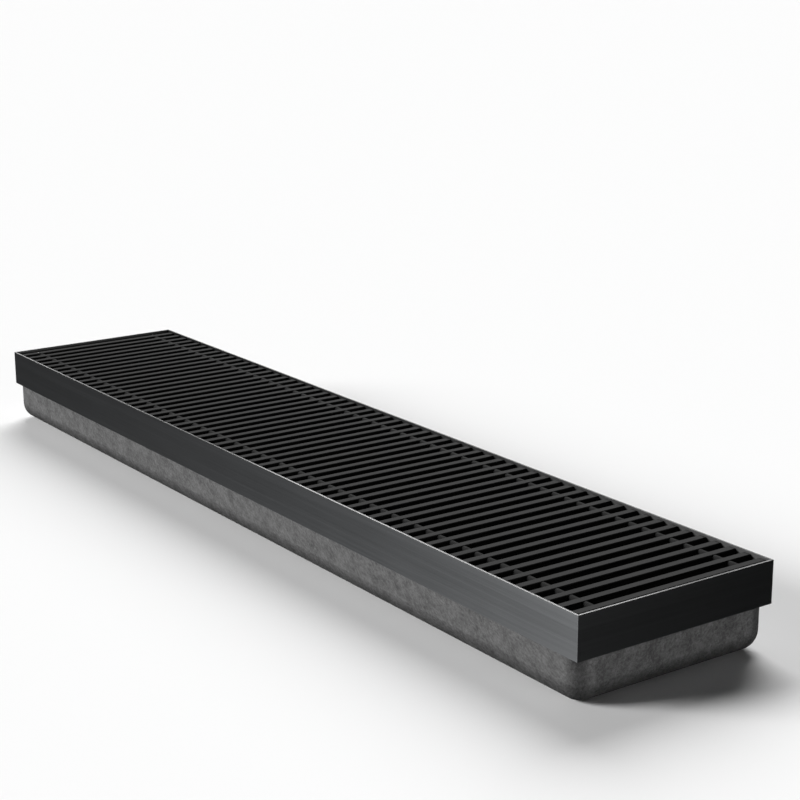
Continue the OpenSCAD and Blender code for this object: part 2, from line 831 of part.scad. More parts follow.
module flow_union_nut() {
    union_nut(flow_y);
}

module return_union_nut() {
    union_nut(return_y);
}

// Boss saddled on the flow tube for the air bleed
module bleed_boss() {
    color("goldenrod") translate([bleed_x, flow_y, coil_z]) difference() {
        cylinder(r = bleed_r, h = bleed_h, $fn = round_fn);
        rotate([0, 90, 0])
            cylinder(r = tube_r + run_gap, h = 2 * (bleed_r + overrun), center = true,
                     $fn = round_fn);
        cylinder(r = bleed_screw_r + run_gap, h = bleed_h + overrun, $fn = round_fn);
    }
}

module bleed_screw() {
    color("gold") translate([bleed_x, flow_y, coil_z + bleed_h]) difference() {
        translate([0, 0, free_gap - bleed_thread_l])
            cylinder(r = bleed_screw_r, h = bleed_thread_l - free_gap + bleed_proud,
                     $fn = round_fn);
        translate([-bleed_screw_r - overrun, -bleed_slot_w / 2, bleed_proud - bleed_slot_depth])
            cube([2 * (bleed_screw_r + overrun), bleed_slot_w, bleed_slot_depth + overrun]);
    }
}

pan();
frame_front();
frame_back();
frame_left();
frame_right();
corner_cleats();
frame_screws();
frame_nuts();
rest_strip_front();
rest_strip_back();
entry_grommets();
earth_stud();
earth_nut();
grille_bars();
tie_rod_front();
tie_rod_back();
sleeves_front();
sleeves_back();
rod_nuts();
fins();
flow_tube();
return_tube();
return_bend();
tube_bushes();
bracket_left();
bracket_right();
bracket_screws();
air_guide();
guide_screws();
flow_valve_body();
flow_bonnet();
flow_pin();
flow_hand_cap();
flow_union_nut();
return_valve_body();
return_plug();
return_spindle();
return_cap();
return_union_nut();
bleed_boss();
bleed_screw();
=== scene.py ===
# %% [markdown]
# # Trench convector heater
#
# A trench heater is a shallow steel pan that is sunk into the floor along a window. An
# aluminium frame stands round its rim, a grille of black cross bars drops into the frame, and
# a finned copper coil lies on the pan's floor. Cool air falls through the grille's front,
# passes under the coil and rises through it.
#
# The construction comes from the solid model, at its real size. This notebook dresses it: it
# breaks the edges that catch the light, makes the threaded, moulded and brazed details, gives
# every surface its finish, and sets up a studio with a camera.

# %% Load the construction
import math

import bmesh
import bpy
from mathutils import Matrix, Vector


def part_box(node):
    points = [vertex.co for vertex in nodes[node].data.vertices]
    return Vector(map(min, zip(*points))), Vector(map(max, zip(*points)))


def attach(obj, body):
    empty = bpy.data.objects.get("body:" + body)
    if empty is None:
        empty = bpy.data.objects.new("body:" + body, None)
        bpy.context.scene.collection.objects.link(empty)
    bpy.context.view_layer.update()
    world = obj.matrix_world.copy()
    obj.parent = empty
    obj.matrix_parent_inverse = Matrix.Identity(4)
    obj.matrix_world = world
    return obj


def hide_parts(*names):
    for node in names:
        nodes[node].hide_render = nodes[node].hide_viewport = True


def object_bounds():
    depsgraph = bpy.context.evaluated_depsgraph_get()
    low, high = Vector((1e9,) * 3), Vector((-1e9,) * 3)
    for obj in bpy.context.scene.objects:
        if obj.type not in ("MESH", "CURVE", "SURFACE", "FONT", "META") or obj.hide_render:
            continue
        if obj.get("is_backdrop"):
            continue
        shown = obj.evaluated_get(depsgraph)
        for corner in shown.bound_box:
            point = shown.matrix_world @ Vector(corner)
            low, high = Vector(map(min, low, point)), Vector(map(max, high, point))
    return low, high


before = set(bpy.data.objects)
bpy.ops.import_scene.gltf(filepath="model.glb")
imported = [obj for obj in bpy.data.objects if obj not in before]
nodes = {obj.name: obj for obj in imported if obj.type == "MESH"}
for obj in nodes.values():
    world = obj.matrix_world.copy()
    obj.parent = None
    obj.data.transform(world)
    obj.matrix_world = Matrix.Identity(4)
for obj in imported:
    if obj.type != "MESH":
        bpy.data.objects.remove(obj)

cad_low, cad_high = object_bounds()
scene = bpy.context.scene
MM = 0.001
print("nodes:", len(nodes), "size in mm:", [round(side / MM, 1) for side in cad_high - cad_low])

# %% [markdown]
# ## Sizes
#
# The pieces of the solid model already hold the heater's sizes, so the corners of their boxes
# are read here. What a box can't tell, such as the radius of the pan's round edges, the
# thickness of its sheet and the sections of the turned pieces, is typed where it is used.

# %% Read the sizes from the pieces
back_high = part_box("frame_back")[1]
pan_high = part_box("pan")[1]
bend_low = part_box("return_bend")[0]
flow_low, flow_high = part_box("flow_tube")
return_low, return_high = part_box("return_tube")

rim_z = back_high.z
half_length = cad_high.x
half_width = back_high.y
coil_z = (flow_high.z + flow_low.z) / 2
flow_y = (flow_high.y + flow_low.y) / 2
return_y = (return_high.y + return_low.y) / 2
print("half length, half width, height of the coil in mm:",
      [round(size / MM, 2) for size in (half_length, half_width, coil_z)])

# %% [markdown]
# A piece of the solid model can hold many solids, such as all fourteen frame screws. A new,
# finer screw belongs where each of them is. The exported mesh is loose triangles, so a copy is
# merged first, and then each solid is found by walking from corner to corner along its edges.

# %% Find the solids in a piece
MERGE_REACH = 0.001 * MM


def solids(name):
    """The lowest and highest corner of each solid in a piece, from left to right."""
    shape = bmesh.new()
    shape.from_mesh(nodes[name].data)
    bmesh.ops.remove_doubles(shape, verts=shape.verts, dist=MERGE_REACH)
    boxes = []
    for start in shape.verts:
        if start.tag:
            continue
        start.tag = True
        island = [start]
        for corner in island:
            for edge in corner.link_edges:
                other = edge.other_vert(corner)
                if not other.tag:
                    other.tag = True
                    island.append(other)
        low = Vector([min(corner.co[axis] for corner in island) for axis in range(3)])
        high = Vector([max(corner.co[axis] for corner in island) for axis in range(3)])
        boxes.append((low, high))
    shape.free()
    return sorted(boxes, key=lambda box: tuple(round(value / MM, 2) for value in box[0]))


screw_boxes = solids("frame_screws")
fin_boxes = solids("fins")
print("frame screws:", len(screw_boxes), "fins:", len(fin_boxes))

# %% [markdown]
# ## Sums with sockets
#
# A finish is a tree of shader nodes. Wired by hand, even `1 - mask` takes three lines. A small
# class that holds an output socket and knows `+`, `-`, `*` and `**` lets Python's own sums
# build the Math nodes, so a pattern reads like the formula it is.

# %% A socket that takes part in sums
class Wire:
    """One output of a finish's nodes. A sum written with it adds Math nodes."""

    def __init__(self, finish, socket):
        self.finish = finish
        self.socket = socket

    def reckon(self, operation, *terms):
        sockets = dict(enumerate(terms))
        return self.finish.node("ShaderNodeMath", {"operation": operation}, sockets)["Value"]

    def __add__(self, other):
        return self.reckon("ADD", self, other)

    def __radd__(self, other):
        return self.reckon("ADD", other, self)

    def __sub__(self, other):
        return self.reckon("SUBTRACT", self, other)

    def __rsub__(self, other):
        return self.reckon("SUBTRACT", other, self)

    def __mul__(self, other):
        return self.reckon("MULTIPLY", self, other)

    def __rmul__(self, other):
        return self.reckon("MULTIPLY", other, self)

    def __pow__(self, other):
        return self.reckon("POWER", self, other)

    def __abs__(self):
        return self.reckon("ABSOLUTE", self)

    def at_least(self, other):
        return self.reckon("MAXIMUM", self, other)

    def sine(self):
        return self.reckon("SINE", self)


# %% [markdown]
# ## Finishes
#
# Every node of a finish comes from one method. It sets the node's own settings first, because
# they decide which sockets it has, and then fills the sockets, by number or by name, with
# values or with wires.
#
# The patterns read Object coordinates. The pieces stay at the origin with their place in
# their mesh, so these are metres in the heater's own frame: a pattern keeps its real size on
# every piece, and runs on across two pieces that meet.

# %% A finish and its nodes
def socket_of(sockets, key):
    """The socket in use that has this number or name."""
    if isinstance(key, int):
        return sockets[key]
    return next(socket for socket in sockets if socket.enabled and socket.name == key)


class Finish:
    """A tree of shader nodes round one shader, the skin."""

    def __init__(self, tree, skin):
        self.tree = tree
        self.skin = tree.nodes[skin]

    def fill(self, made, sockets):
        for key, value in sockets.items():
            if isinstance(value, Wire):
                self.tree.links.new(value.socket, socket_of(made.inputs, key))
            else:
                socket_of(made.inputs, key).default_value = value

    def node(self, kind, settings=None, sockets=None):
        made = self.tree.nodes.new(kind)
        for key, value in (settings or {}).items():
            setattr(made, key, value)
        self.fill(made, sockets or {})
        return {socket.name: Wire(self, socket) for socket in made.outputs if socket.enabled}

    def surface(self, **sockets):
        """Fills the skin's sockets. An underscore stands for a blank in a name."""
        self.fill(self.skin, {key.replace("_", " "): value for key, value in sockets.items()})

    def place(self, scale=(1, 1, 1), along=(1, 0, 0)):
        """Object coordinates turned until along lies on X, then scaled in each direction."""
        turn = Vector(along).rotation_difference(Vector((1, 0, 0))).to_euler()
        where = self.node("ShaderNodeTexCoord")["Object"]
        turned = self.node("ShaderNodeMapping", None, {"Vector": where, "Rotation": turn})["Vector"]
        return self.node("ShaderNodeMapping", None, {"Vector": turned, "Scale": scale})["Vector"]

    def split(self, place):
        return self.node("ShaderNodeSeparateXYZ", None, {"Vector": place})

    def noise(self, place, detail=2.0, roughness=0.5):
        """Cloudy values round 0.5, one cloud to a unit of the place."""
        sockets = {"Vector": place, "Scale": 1.0, "Detail": detail, "Roughness": roughness}
        return self.node("ShaderNodeTexNoise", None, sockets)["Fac"]

    def fade(self, value, start, end):
        """0 at start and 1 at end, with a smooth way between."""
        smooth = {"interpolation_type": "SMOOTHSTEP"}
        sockets = {"Value": value, "From Min": start, "From Max": end}
        return self.node("ShaderNodeMapRange", smooth, sockets)["Result"]

    def blend(self, amount, first, second):
        """A colour between first and second."""
        sockets = {"Factor": amount, "A": first, "B": second}
        return self.node("ShaderNodeMix", {"data_type": "RGBA"}, sockets)["Result"]

    def relief(self, height, depth):
        """A normal for a surface that stands height times depth metres high."""
        return self.node("ShaderNodeBump", None, {"Height": height, "Distance": depth})["Normal"]


def new_finish(name):
    material = bpy.data.materials.new(name)
    material.use_nodes = True
    return Finish(material.node_tree, "Principled BSDF"), material


def grey(level, warmth=0.0):
    """A grey of that reflectance. Warmth above 0 turns it yellow, below 0 blue."""
    return (level * (1 + warmth), level, level * (1 - warmth), 1.0)


def paint(item, material):
    """Gives a piece one finish, whatever slots it had."""
    item.data.materials.clear()
    item.data.materials.append(material)


# %% [markdown]
# ## The floor frame: brushed, dark, with a painted highlight on the top edge
#
# The frame is an aluminium extrusion, brushed along its length and anodised grey. Brushing
# leaves fine grooves, and grooves stretch a highlight across them. The shader's anisotropy
# does that, turned a quarter, because its own direction already runs level round upright
# faces. It is why the long side is dark at its far end and lighter towards the near corner.
# The streaks are noise that is squeezed hard in height and hardly at all along the side.
#
# The outer part of the top edge has a lighter base colour, a painted highlight that brightens the
# thin line where it mirrors the bright room. Inside that line, down to the ledge and over the
# inner walls, the colour is darker: painted shade.

# %% Dark brushed aluminium
PAINTED_HIGHLIGHT_WIDTH = 1.2 * MM
PAINTED_HIGHLIGHT_DEPTH = 0.3 * MM
BLUR = 0.1 * MM


def brushed_frame():
    finish, material = new_finish("dark_brushed_aluminium")
    hair = finish.noise(finish.place(scale=(6, 6, 1800)), detail=3.0, roughness=0.6)
    band = finish.noise(finish.place(scale=(1.2, 1.2, 130)), detail=2.0)
    cloud = finish.noise(finish.place(scale=(25, 25, 25)), detail=2.0)
    streak = finish.fade(0.6 * hair + 0.3 * band + 0.1 * cloud, 0.3, 0.7)
    where = finish.split(finish.place())
    past_x = abs(where["X"]) - (half_length - PAINTED_HIGHLIGHT_WIDTH)
    past_y = abs(where["Y"]) - (half_width - PAINTED_HIGHLIGHT_WIDTH)
    # Everything farther in than this band gets grey 0.05: the inner part of the top edge, the inner
    # walls and the ledge. This is painted shade.
    outer = finish.fade(past_x.at_least(past_y), -BLUR, BLUR)
    # The outer band of the top face gets a lighter grey: a painted highlight.
    painted_highlight = finish.fade(where["Z"], rim_z - PAINTED_HIGHLIGHT_DEPTH, rim_z - PAINTED_HIGHLIGHT_DEPTH / 2)
    brushed = finish.blend(streak, grey(0.119, -0.03), grey(0.143, -0.03))
    skin = finish.blend(painted_highlight, brushed, grey(0.2))
    finish.surface(
        Base_Color=finish.blend(outer, grey(0.05), skin),
        Metallic=1.0,
        Roughness=0.45 + 0.04 * streak,
        Anisotropic=0.89,
        Anisotropic_Rotation=0.25,
        Normal=finish.relief(hair, 0.003 * MM))
    return material


frame_dark = brushed_frame()
print("finish:", frame_dark.name)

# %% [markdown]
# ## The grille: matt black
#
# The bars and the sleeves between them are black and matt. Up close their colour isn't even:
# the coat is a little cloudy, and it has a fine tooth that breaks reflections up. Its
# specular level is low, as black anodising on a blasted surface gives no gloss. The sleeves
# take a darker copy of the same coat, painted shade for where they sit down between the bars.

# %% Matt black coat
def matt_black(name, level):
    finish, material = new_finish(name)
    cloud = finish.noise(finish.place(scale=(220, 90, 220)), detail=5.0, roughness=0.7)
    tooth = finish.noise(finish.place(scale=(1500, 1500, 1500)), detail=1.0)
    tone = finish.fade(0.6 * cloud + 0.4 * tooth, 0.3, 0.7)
    finish.surface(
        Base_Color=finish.blend(tone, grey(level * 0.82), grey(level * 1.18)),
        Specular_IOR_Level=0.02,
        Roughness=0.7 + 0.1 * tone,
        Normal=finish.relief(tooth, 0.015 * MM))
    return material


bar_black = matt_black("matt_black_bars", 0.032)
# The sleeves' lower level is painted shade.
shaded_sleeve_black = matt_black("matt_black_sleeves", 0.018)
print("finishes:", bar_black.name, shaded_sleeve_black.name)

# %% [markdown]
# ## The pan: zinc-coated outside, black inside
#
# The pan is drawn from zinc-coated sheet. Outside it is bare: matt grey with cloudy, slanting
# marks from the coating and the drawing. One noise, stretched along a direction that slants
# in all three axes, marks every side alike, so no side needs a pattern of its own.
#
# Inside it is coated black so that it doesn't show through the grille. Both are the same
# piece of sheet, so the finish has to know how deep a point lies under the outer skin. The
# outside is a box with round edges, and the distance from such a box is a short sum: how far
# the point lies past the edges' centre lines in each axis, put together as a length.

# %% Zinc sheet with a coated inside
PAN_RADIUS = 16 * MM
SHEET = 1.2 * MM
DRAWN_ALONG = (0.78, -0.47, -0.41)


def zinc_sheet():
    finish, material = new_finish("zinc_pan_sheet")
    cloud = finish.noise(finish.place((50, 130, 130), DRAWN_ALONG), detail=3.0, roughness=0.6)
    mark = finish.noise(finish.place((110, 520, 520), DRAWN_ALONG), detail=3.0, roughness=0.7)
    grain = finish.noise(finish.place((500, 1100, 1100), DRAWN_ALONG), detail=2.0, roughness=0.7)
    where = finish.split(finish.place())
    past_x = (abs(where["X"]) - (pan_high.x - PAN_RADIUS)).at_least(0.0)
    past_y = (abs(where["Y"]) - (pan_high.y - PAN_RADIUS)).at_least(0.0)
    past_z = (PAN_RADIUS - where["Z"]).at_least(0.0)
    depth = PAN_RADIUS - (past_x * past_x + past_y * past_y + past_z * past_z) ** 0.5
    coat = finish.fade(depth, 0.45 * SHEET, 0.55 * SHEET)
    tone = finish.fade(0.35 * cloud + 0.45 * mark + 0.2 * grain, 0.28, 0.76)
    bare = 1 - coat
    finish.surface(
        Base_Color=finish.blend(coat, finish.blend(tone, grey(0.08), grey(0.32)), grey(0.012)),
        Metallic=0.8 * bare,
        Roughness=0.62 - 0.14 * (tone * bare),
        Normal=finish.relief(0.4 * cloud + 0.6 * mark, 0.08 * MM))
    return material


pan_zinc = zinc_sheet()
print("finish:", pan_zinc.name)

# %% [markdown]
# ## Metals inside
#
# The pieces inside are bare or plated metal. Each kind shares one recipe, two tones of the
# metal that drift into each other, and differs in how it was worked: castings and turned
# pieces have a fine, even grain, plated pieces a coarser one, and rolled aluminium has lines.
# So the recipe takes the size of its marks in each axis as an argument.

# %% Worked metal
def worked_metal(name, bright, dull, marks, roughness, depth=0.01):
    """Marks are the pattern's scales along X, Y and Z; depth is their relief in mm."""
    finish, material = new_finish(name)
    drift = finish.noise(finish.place((45, 45, 45)), detail=3.0)
    mark = finish.noise(finish.place(marks), detail=3.0, roughness=0.6)
    tone = finish.fade(0.55 * drift + 0.45 * mark, 0.35, 0.65)
    finish.surface(
        Base_Color=finish.blend(tone, dull, bright),
        Metallic=1.0,
        Roughness=roughness + 0.14 * (1 - tone),
        Normal=finish.relief(mark, depth * MM))
    return material


nickel_cast = worked_metal("nickel_plated_casting", (0.72, 0.69, 0.63, 1), (0.50, 0.47, 0.42, 1),
                           (900, 900, 900), 0.24, 0.03)
turned_brass = worked_metal("turned_brass", (0.82, 0.62, 0.29, 1), (0.55, 0.39, 0.17, 1),
                            (900, 900, 900), 0.2)
zinc_plate = worked_metal("bright_zinc_plate", (0.70, 0.70, 0.68, 1), (0.57, 0.57, 0.53, 1),
                          (300, 300, 300), 0.3)
mill_aluminium = worked_metal("mill_aluminium", (0.74, 0.74, 0.76, 1), (0.55, 0.55, 0.57, 1),
                              (60, 900, 900), 0.32)
print("metals:", nickel_cast.name, turned_brass.name, zinc_plate.name, mill_aluminium.name)

# %% [markdown]
# ## Copper and fins
#
# Copper tube shows where it has been hot. Round the brazed joints of the bend the flame leaves
# it dark and brown, and that fades along the tube. The distance from the joint drives a second
# colour over the first.
#
# Fins are thin sheet, pressed into shallow waves to stir the air. The waves are only tenths of
# a millimetre high, far less than the gap between two fins, so a relief is enough for them.

# %% Copper and fin sheet
HEAT_CORE = 4 * MM
HEAT_REACH = 42 * MM
FIN_WAVE = 7 * MM


def drawn_copper():
    finish, material = new_finish("drawn_copper")
    drift = finish.noise(finish.place((40, 90, 90)), detail=4.0, roughness=0.6)
    line = finish.noise(finish.place((20, 900, 900)), detail=2.0)
    blotch = finish.noise(finish.place((130, 130, 130)), detail=3.0)
    where = finish.split(finish.place())
    tone = finish.fade(0.6 * drift + 0.4 * line, 0.35, 0.68)
    distance = abs(where["X"] - bend_low.x) + 0.01 * blotch
    near = 1 - finish.fade(distance, HEAT_CORE, HEAT_REACH)
    metal = finish.blend(tone, (0.52, 0.25, 0.15, 1), (0.80, 0.44, 0.30, 1))
    finish.surface(
        Base_Color=finish.blend(0.75 * near, metal, (0.16, 0.075, 0.05, 1)),
        Metallic=1.0,
        Roughness=0.2 + 0.16 * (1 - tone) + 0.16 * near,
        Normal=finish.relief(line, 0.008 * MM))
    return material


def fin_sheet():
    finish, material = new_finish("thin_fin_sheet")
    drift = finish.noise(finish.place((166, 20, 20)), detail=3.0)
    speck = finish.noise(finish.place((400, 400, 400)), detail=2.0)
    where = finish.split(finish.place())
    wave = (where["Y"] * (math.tau / FIN_WAVE)).sine()
    tone = finish.fade(0.6 * drift + 0.4 * speck, 0.3, 0.7)
    finish.surface(
        Base_Color=finish.blend(tone, grey(0.56, -0.01), grey(0.80, -0.01)),
        Metallic=1.0,
        Roughness=0.26 + 0.12 * speck,
        Normal=finish.relief(wave, 0.12 * MM))
    return material


copper = drawn_copper()
fin_metal = fin_sheet()
print("finishes:", copper.name, fin_metal.name)

# %% [markdown]
# ## Rubber, plastic and coated sheet
#
# The soft and coated pieces aren't metal. Rubber is almost black and takes up pale dust in
# its pores. The caps are off-white plastic, a touch yellower where the mould was hotter. The
# air guide has a baked coat with the fine orange-peel skin that such coats have.

# %% Coats and mouldings
def coat(name, first, second, size, roughness, depth, spread=(0.3, 0.7)):
    """Size is the width of the coat's grain in mm, depth its relief in mm."""
    finish, material = new_finish(name)
    drift = finish.noise(finish.place((70, 70, 70)), detail=3.0)
    grain = finish.noise(finish.place((1 / (size * MM),) * 3), detail=2.0)
    tone = finish.fade(0.5 * drift + 0.5 * grain, *spread)
    finish.surface(
        Base_Color=finish.blend(tone, first, second),
        Roughness=roughness + 0.1 * grain,
        Normal=finish.relief(grain, depth * MM))
    return material


rubber = coat("black_rubber", grey(0.012), grey(0.05, 0.03), 0.8, 0.7, 0.03, (0.45, 0.85))
white_plastic = coat("off_white_plastic", (0.70, 0.68, 0.62, 1), (0.80, 0.79, 0.75, 1),
                     0.5, 0.38, 0.01)
black_sheet = coat("black_baked_coat", grey(0.018), grey(0.032), 1.2, 0.42, 0.03)
print("coats:", rubber.name, white_plastic.name, black_sheet.name)

# %% [markdown]
# ## Dress the solid model
#
# Each piece of the solid model now gets its finish. The list runs by finish, as a paint shop
# works.

# %% Paint the pieces
painted = {
    frame_dark: ["frame_front", "frame_back", "frame_left", "frame_right"],
    bar_black: ["grille_bars"],
    shaded_sleeve_black: ["sleeves_front", "sleeves_back"],
    pan_zinc: ["pan"],
    black_sheet: ["air_guide"],
    fin_metal: ["fins"],
    copper: ["flow_tube", "return_tube", "return_bend"],
    nickel_cast: ["flow_valve_body", "return_valve_body", "flow_union_nut", "return_union_nut"],
    turned_brass: ["flow_bonnet", "return_plug", "return_spindle", "bleed_boss", "bleed_screw",
                   "earth_stud", "earth_nut"],
    zinc_plate: ["frame_screws", "frame_nuts", "tie_rod_front", "tie_rod_back", "rod_nuts",
                 "bracket_left", "bracket_right", "bracket_screws", "guide_screws", "flow_pin"],
    mill_aluminium: ["corner_cleats"],
    rubber: ["rest_strip_front", "rest_strip_back", "entry_grommets", "tube_bushes"],
    white_plastic: ["flow_hand_cap", "return_cap"]}

for material, names in painted.items():
    for name in names:
        paint(nodes[name], material)
left_out = set(nodes) - {name for names in painted.values() for name in names}
print("painted:", len(nodes) - len(left_out), "left out:", sorted(left_out))

# %% [markdown]
# ## Break the edges
#
# No real edge is perfectly sharp, and the thin highlight on a broken edge tells the eye where
# a plate ends. The solid model's meshes may not be touched, but modifiers may work on them: a
# Weld joins the loose triangles, and a Bevel then rounds every edge that is sharper than a
# limit. The width is what the process leaves: sawn and brushed extrusion a quarter of a
# millimetre, castings and moulded rubber about a third of one.

# %% Weld and bevel
WELD_REACH = 0.002 * MM
BEVEL_SEGMENTS = 2
SHARPER_THAN = math.radians(40)


def break_edges(names, width):
    for name in names:
        weld = nodes[name].modifiers.new("weld", "WELD")
        weld.merge_threshold = WELD_REACH
        bevel = nodes[name].modifiers.new("broken_edges", "BEVEL")
        bevel.width = width * MM
        bevel.segments = BEVEL_SEGMENTS
        bevel.limit_method = "ANGLE"
        bevel.angle_limit = SHARPER_THAN
        bevel.harden_normals = True
    print("edges of", width, "mm on", len(names), "pieces")


break_edges(["frame_front", "frame_back", "frame_left", "frame_right"], 0.25)
break_edges(["grille_bars"], 0.2)
break_edges(["corner_cleats", "bracket_left", "bracket_right", "air_guide"], 0.2)
break_edges(["flow_valve_body", "return_valve_body", "flow_bonnet"], 0.3)
break_edges(["entry_grommets", "tube_bushes"], 0.35)
break_edges(["rod_nuts", "frame_nuts", "bleed_boss", "bleed_screw"], 0.2)

# %% [markdown]
# ## Turned pieces
#
# Screws, nuts, threads and caps are all turned shapes. One function makes them: it takes half
# of the section, as pairs of radius and height in millimetres, and spins it round Z. Spinning
# can leave the shape inside out and with doubled points at the seam and the poles, so these
# are merged first and the faces turned outwards after that.
#
# Hexagons and flutes come from the same shape. Once it is spun, the points of chosen rings
# are moved in or out by a rule of their angle.

# %% Spin a section round Z
def round_as_spun(angle, height, radius):
    return 1.0


def turned(section, steps, rule=round_as_spun):
    """A closed shape. Rule(angle, height, radius) gives the factor on a point's radius."""
    shape = bmesh.new()
    points = [shape.verts.new((radius * MM, 0, height * MM)) for radius, height in section]
    lines = [shape.edges.new(pair) for pair in zip(points, points[1:])]
    bmesh.ops.spin(shape, geom=points + lines, cent=(0, 0, 0), axis=(0, 0, 1), dvec=(0, 0, 0),
                   angle=math.tau, steps=steps, use_merge=True, use_duplicate=False)
    bmesh.ops.remove_doubles(shape, verts=shape.verts, dist=MERGE_REACH)
    bmesh.ops.recalc_face_normals(shape, faces=shape.faces)
    for point in shape.verts:
        angle = math.atan2(point.co.y, point.co.x)
        factor = rule(angle, point.co.z / MM, point.co.xy.length / MM)
        point.co.x *= factor
        point.co.y *= factor
    return shape


def polygon(sides, angle):
    """Radius of a regular polygon at an angle, where its corners lie at radius 1."""
    half = math.pi / sides
    return math.cos(half) / math.cos(angle % (2 * half) - half)


def thread(radius, depth, pitch, start, end):
    """Pairs for a run of thread ridges between two heights."""
    count = round((end - start) / pitch)
    step = (end - start) / count
    ridges = []
    for turn in range(count):
        ridges += [(radius - depth, start + turn * step), (radius, start + (turn + 0.5) * step)]
    return ridges + [(radius - depth, end)]


print("a hexagon's radius on a corner and on a flat:",
      polygon(6, 0), round(polygon(6, math.pi / 6), 3))

# %% [markdown]
# A finished piece is one mesh with its place in its points. The next helpers put copies of a
# shape at many places, and hand a finished shape over: smooth faces with sharp edges kept,
# its finish, the body that it rides on, and the pieces of the solid model that it stands for.

# %% Copies and hand-over
SHARP = math.radians(35)


def copies(shape, places):
    """One shape at every place, as one mesh."""
    pattern = bpy.data.meshes.new("pattern")
    shape.to_mesh(pattern)
    shape.free()
    many = bmesh.new()
    for place in places:
        before = len(many.verts)
        many.from_mesh(pattern)
        many.verts.ensure_lookup_table()
        bmesh.ops.transform(many, matrix=place, verts=many.verts[before:])
    bpy.data.meshes.remove(pattern)
    return many


def hand_over(name, shape, body, material, replaced=()):
    """Adds a shape that rides on a body and stands for the replaced pieces, if any."""
    mesh = bpy.data.meshes.new(name)
    shape.to_mesh(mesh)
    shape.free()
    mesh.shade_smooth()
    mesh.set_sharp_from_angle(angle=SHARP)
    piece = bpy.data.objects.new(name, mesh)
    scene.collection.objects.link(piece)
    paint(piece, material)
    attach(piece, body)
    if replaced:
        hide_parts(*replaced)
    print(name, "on", body, "has", len(mesh.polygons), "faces")


def middle(box):
    return (box[0] + box[1]) / 2


def upright(box):
    """A place on the middle of a box's floor."""
    return Matrix.Translation((middle(box).x, middle(box).y, box[0].z))


def facing(direction, where):
    """A place at where, with Z turned to a direction."""
    turn = Vector((0, 0, 1)).rotation_difference(Vector(direction))
    return Matrix.Translation(where) @ turn.to_matrix().to_4x4()


# %% [markdown]
# ## Frame screws
#
# Countersunk screws hold the frame on the pan's flange. They show on the ledge once the
# grille is out. Each has a cone that sinks flush into the ledge, a hexagon socket and a
# thread. Ring by ring, the socket's points are drawn to a hexagon and all others stay round.

# %% Countersunk frame screws
SOCKET_RADIUS = 1.5
SOCKET_FLOOR = 8


def hexagon_socket(angle, height, radius):
    inside = 0 < radius <= SOCKET_RADIUS and height > SOCKET_FLOOR
    return polygon(6, angle) if inside else 1.0


screw_section = ([(0, 0), (1.4, 0)] + thread(2.0, 0.3, 0.8, 0.6, 7.6) +
                 [(2.0, 7.95), (3.9, 9.85), (3.85, 10), (1.5, 10), (1.4, 9.8), (1.4, 8.4),
                  (0, 8.3)])
screw_places = [upright(box) for box in screw_boxes]
hand_over("countersunk_screws", copies(turned(screw_section, 24, hexagon_socket), screw_places),
          "case", zinc_plate, ["frame_screws"])

# %% [markdown]
# ## Foot screws and guide screws
#
# The brackets stand on the pan's floor, each on a foot with two hexagon screws that have a
# flange under the head. The air guide hangs on the brackets' tabs by small domed screws that
# point backwards, so their shape is turned to lie along Y.

# %% Screws of the brackets and the air guide
HEAD_FOOT, HEAD_TOP, HEAD_CORE = 3.05, 4.7, 3.5
SMALL_SOCKET_RADIUS = 1.25
SMALL_SOCKET_FLOOR = 5.5


def flanged_head(angle, height, radius):
    on_head = HEAD_FOOT < height < HEAD_TOP and radius > HEAD_CORE
    return polygon(6, angle) if on_head else 1.0


foot_section = [(0, 0), (2.0, 0), (2.4, 0.4), (2.4, 2.4), (4.45, 2.4), (4.45, 2.8), (4.1, 3.0),
                (4.05, 3.1), (4.05, 4.5), (3.45, 4.9), (2.6, 4.9), (2.2, 4.6), (0, 4.6)]
foot_places = [upright(box) for box in solids("bracket_screws")]
hand_over("foot_screws", copies(turned(foot_section, 36, flanged_head), foot_places),
          "case", zinc_plate, ["bracket_screws"])


def small_socket(angle, height, radius):
    inside = 0 < radius <= SMALL_SOCKET_RADIUS and height > SMALL_SOCKET_FLOOR
    return polygon(6, angle) if inside else 1.0


guide_section = ([(0, 0), (1.0, 0)] + thread(1.5, 0.2, 0.6, 0.4, 4.6) +
                 [(1.5, 5.0), (3.0, 5.0), (3.0, 5.7), (2.6, 6.4), (2.0, 6.75), (1.25, 6.8),
                  (1.2, 6.7), (1.2, 5.8), (0, 5.7)])
guide_places = [facing((0, -1, 0), (middle(box).x, box[1].y, middle(box).z))
                for box in solids("guide_screws")]
hand_over("domed_screws", copies(turned(guide_section, 24, small_socket), guide_places),
          "case", zinc_plate, ["guide_screws"])

# %% [markdown]
# ## Earth stud
#
# A threaded brass stud is welded to the pan's floor, and a chamfered nut clamps the earth
# wire's eye on it.

# %% Stud and nut
stud_place = [upright(box) for box in solids("earth_stud")]
stud_section = ([(0, 0), (6.0, 0), (6.0, 1.2), (5.7, 1.5), (2.55, 1.5)] +
                thread(3.0, 0.45, 1.0, 1.6, 16.6) + [(2.1, 17.0), (0, 17.0)])
hand_over("threaded_stud", copies(turned(stud_section, 32), stud_place),
          "case", turned_brass, ["earth_stud"])


BORE_CUT = 0.3
CORNER_SHARE = 0.6


